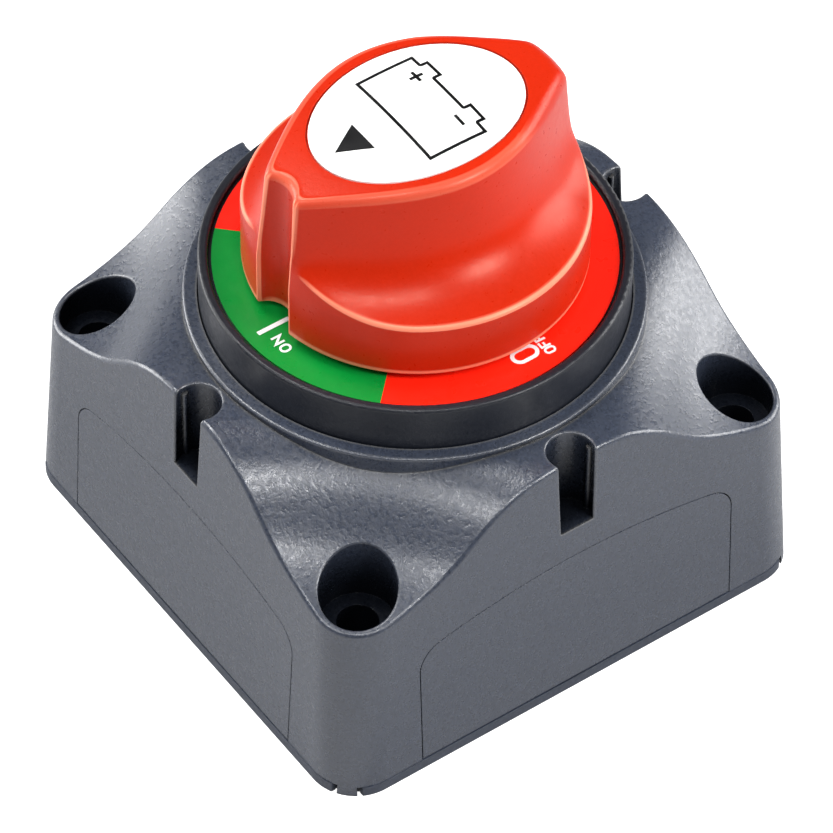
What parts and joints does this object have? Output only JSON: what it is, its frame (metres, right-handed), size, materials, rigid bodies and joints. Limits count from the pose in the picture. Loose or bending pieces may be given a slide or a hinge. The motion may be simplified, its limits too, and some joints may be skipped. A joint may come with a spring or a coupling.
{
  "type": "battery isolator switch",
  "caption": "Square surface-mount battery isolator with sloping corners, a round two-colour dial and a quarter-turn grip knob over rear terminal studs.",
  "frame": {"origin": "centre of the rear mounting face", "axes": "+Z along the knob's axis away from the bulkhead, -Y towards the ON mark, +X towards the OFF mark"},
  "size_m": [0.069, 0.069, 0.0697],
  "materials": {
    "housing_plastic": "fine moulded texture",
    "cover_plastic": "fine moulded texture",
    "bezel_plastic": "satin",
    "seal_rubber": "matt",
    "drum_plastic": "glass-filled nylon",
    "steel": "plain",
    "dial_green": "printed film",
    "dial_red": "printed film",
    "print_white": "ink",
    "tinned_brass": "tinned",
    "copper": null,
    "silver": null,
    "carrier_plastic": "natural nylon",
    "spring_steel": "drawn wire",
    "brass": "turned",
    "knob_plastic": "satin",
    "label_white": "printed film",
    "print_black": "ink"
  },
  "bodies": {
    "base": {"housing": "housing_plastic", "cable_panel_front": "housing_plastic", "cable_panel_right": "housing_plastic", "cable_panel_back": "housing_plastic", "cable_panel_left": "housing_plastic", "bezel": "bezel_plastic", "bezel_gasket": "seal_rubber", "shaft_o_ring": "seal_rubber", "dial_label_on": "dial_green", "dial_label_off": "dial_red", "dial_marks": "print_white", "drum": "drum_plastic", "module_screws": "steel", "cam_ring": "drum_plastic", "terminal_studs": "tinned_brass", "stud_washers": "steel", "spring_washers": "steel", "stud_nuts": "steel"},
    "cover": {"rear_cover": "cover_plastic"},
    "knob": {"knob": "knob_plastic", "knob_label": "label_white", "knob_marks": "print_black", "knob_screw": "steel", "spindle": "brass"},
    "bridge": {"contact_carrier": "carrier_plastic", "contact_bridge": "copper", "contact_tips": "silver", "cam_pins": "steel", "contact_spring": "spring_steel"}
  },
  "joints": [
    {"name": "cover_slide", "type": "slide", "parent": "base", "child": "cover", "axis": [0, 0, -1], "range_m": [0, 0.05]},
    {"name": "knob_turn", "type": "hinge", "parent": "base", "child": "knob", "pos_m": [0, 0, 0.045], "axis": [0, 0, 1], "range_deg": [0, 90]},
    {"name": "bridge_lift", "type": "slide", "parent": "knob", "child": "bridge", "axis": [0, 0, 1], "range_m": [0, 0.002], "deforming": ["contact_spring"]}
  ],
  "couplings": [
    {"joint": "bridge_lift", "follows": "knob_turn", "m_per_rad": 0.0012732}
  ]
}
